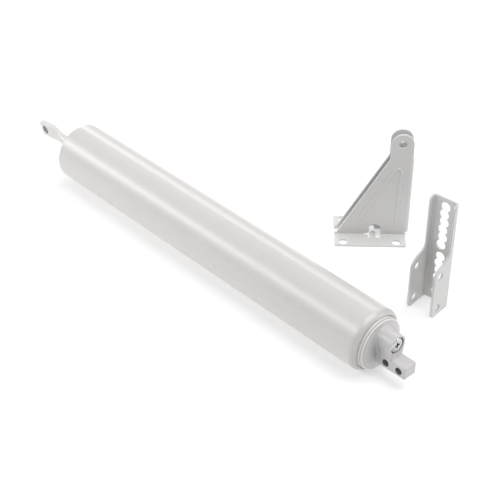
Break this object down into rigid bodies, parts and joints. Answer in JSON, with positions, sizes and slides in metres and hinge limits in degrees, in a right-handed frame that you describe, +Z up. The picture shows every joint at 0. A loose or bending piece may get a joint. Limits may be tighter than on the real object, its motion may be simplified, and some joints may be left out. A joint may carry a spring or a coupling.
{
  "type": "storm door closer",
  "caption": "Pneumatic storm door closer: tube with flattened rod eye and cast valve cap, a triangular jamb bracket and a slotted channel door bracket, laid out as a kit.",
  "frame": {"origin": "centre of the whole set's footprint, on the surface it lies on", "axes": "+X along the tube from the rod's eye to the valve cap, +Y towards the brackets, +Z up"},
  "size_m": [0.4466, 0.1834, 0.0996],
  "materials": {
    "tube_paint": "satin",
    "cap_paint": "satin",
    "bracket_paint": "satin",
    "rod_nickel": "satin",
    "screw_chrome": "gloss",
    "plated_steel": "satin",
    "rubber": "matte",
    "plastic": "matte",
    "felt": "matte"
  },
  "bodies": {
    "tube": {"tube": "tube_paint", "rod_end_cap": "tube_paint", "rod_bushing": "plastic", "rod_wiper": "felt", "spring_seat": "plated_steel", "return_spring": "plated_steel", "valve_cap": "cap_paint", "valve_cap_seal": "rubber", "air_filter": "felt"},
    "piston": {"piston_guide_ring": "plastic", "piston_cup": "rubber"},
    "rod": {"piston_rod": "rod_nickel", "piston_front_washer": "plated_steel", "piston_rear_washer": "plated_steel", "piston_nut": "plated_steel"},
    "screw_tip": {"screw_tip": "plastic", "screw_spring_washer": "plated_steel"},
    "adjusting_screw": {"adjusting_screw": "screw_chrome"},
    "jamb_bracket": {"jamb_bracket": "bracket_paint"},
    "door_bracket": {"door_bracket": "bracket_paint"}
  },
  "joints": [
    {"name": "rod_slide", "type": "slide", "parent": "tube", "child": "piston", "axis": [-1, 0, 0], "range_m": [0, 0.2], "stiffness_N_per_m": 150, "springref_m": -0.06, "deforming": ["return_spring"]},
    {"name": "rod_spin", "type": "hinge", "parent": "piston", "child": "rod", "pos_m": [-0.16463, -0.06627, 0.0254], "axis": [1, 0, 0], "continuous": true},
    {"name": "screw_travel", "type": "slide", "parent": "tube", "child": "screw_tip", "axis": [1, 0, 0], "range_m": [0, 0.0016]},
    {"name": "screw_turn", "type": "hinge", "parent": "screw_tip", "child": "adjusting_screw", "pos_m": [0.19307, -0.06627, 0.03394], "axis": [1, 0, 0], "range_deg": [0, 720]},
    {"name": "jamb_bracket_lift", "type": "slide", "parent": "tube", "child": "jamb_bracket", "axis": [0, 0, 1], "range_m": [0, 0.12]},
    {"name": "door_bracket_lift", "type": "slide", "parent": "tube", "child": "door_bracket", "axis": [0, 0, 1], "range_m": [0, 0.12]}
  ],
  "couplings": [
    {"joint": "screw_travel", "follows": "screw_turn", "m_per_rad": 0.00012732}
  ]
}
